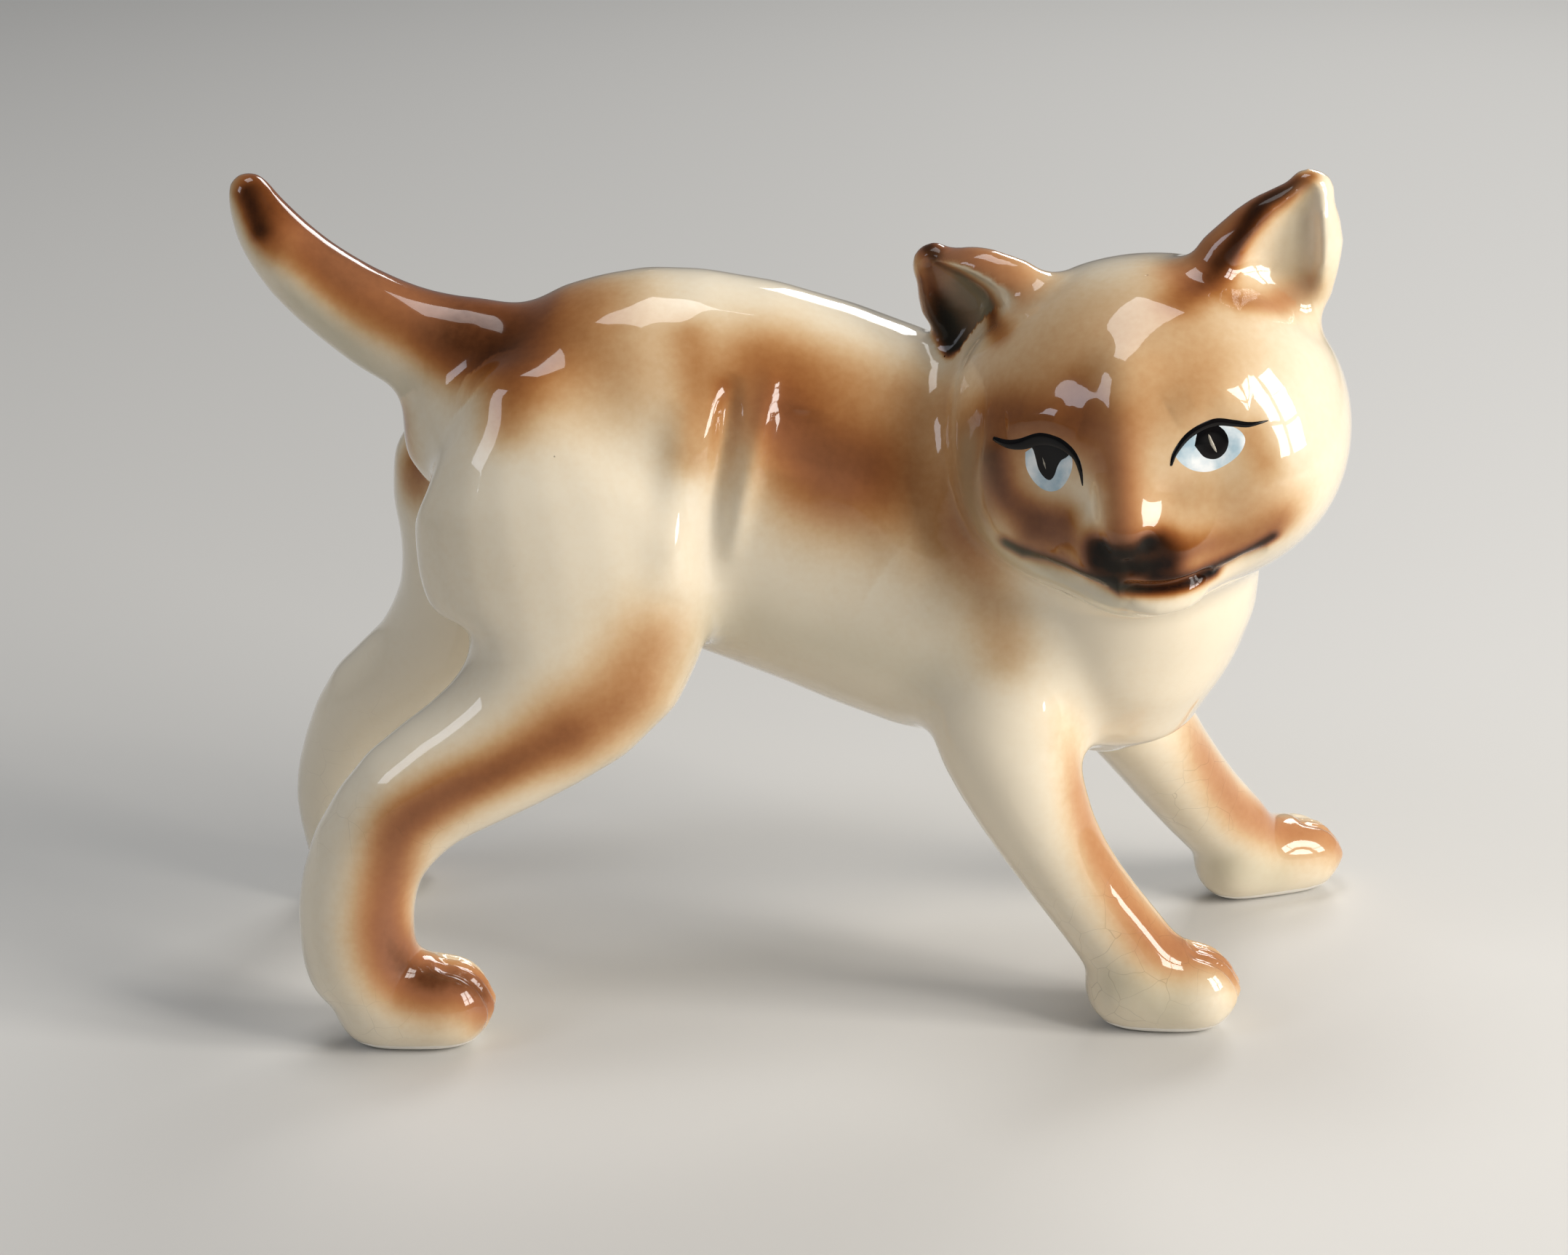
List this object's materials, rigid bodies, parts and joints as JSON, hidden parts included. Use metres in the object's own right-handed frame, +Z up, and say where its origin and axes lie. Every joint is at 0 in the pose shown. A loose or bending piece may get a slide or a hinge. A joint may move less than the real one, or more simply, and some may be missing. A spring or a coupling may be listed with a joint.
{
  "type": "cat figurine",
  "caption": "Glazed ceramic kitten standing with legs braced, tail raised and head turned to its right; rests on four flat soles.",
  "frame": {"origin": "on the surface that the paws stand on, under the middle of the figurine's box", "axes": "+X the way the kitten's body faces, from tail to chest; +Y the kitten's left; +Z up"},
  "size_m": [0.1678, 0.0782, 0.1271],
  "materials": {
    "cream_glaze": "clear gloss glaze over a cream body with airbrushed caramel patches and fine crazing",
    "caramel_glaze": "clear gloss glaze over an airbrushed caramel brown stain",
    "eye_enamel": "painted pale blue and black enamel under the clear glaze"
  },
  "bodies": {
    "root": {"torso": "cream_glaze", "head": "cream_glaze", "right_ear": "caramel_glaze", "left_ear": "caramel_glaze", "tail": "caramel_glaze", "right_foreleg": "cream_glaze", "left_foreleg": "cream_glaze", "right_hind_leg": "cream_glaze", "left_hind_leg": "cream_glaze"}
  },
  "joints": []
}
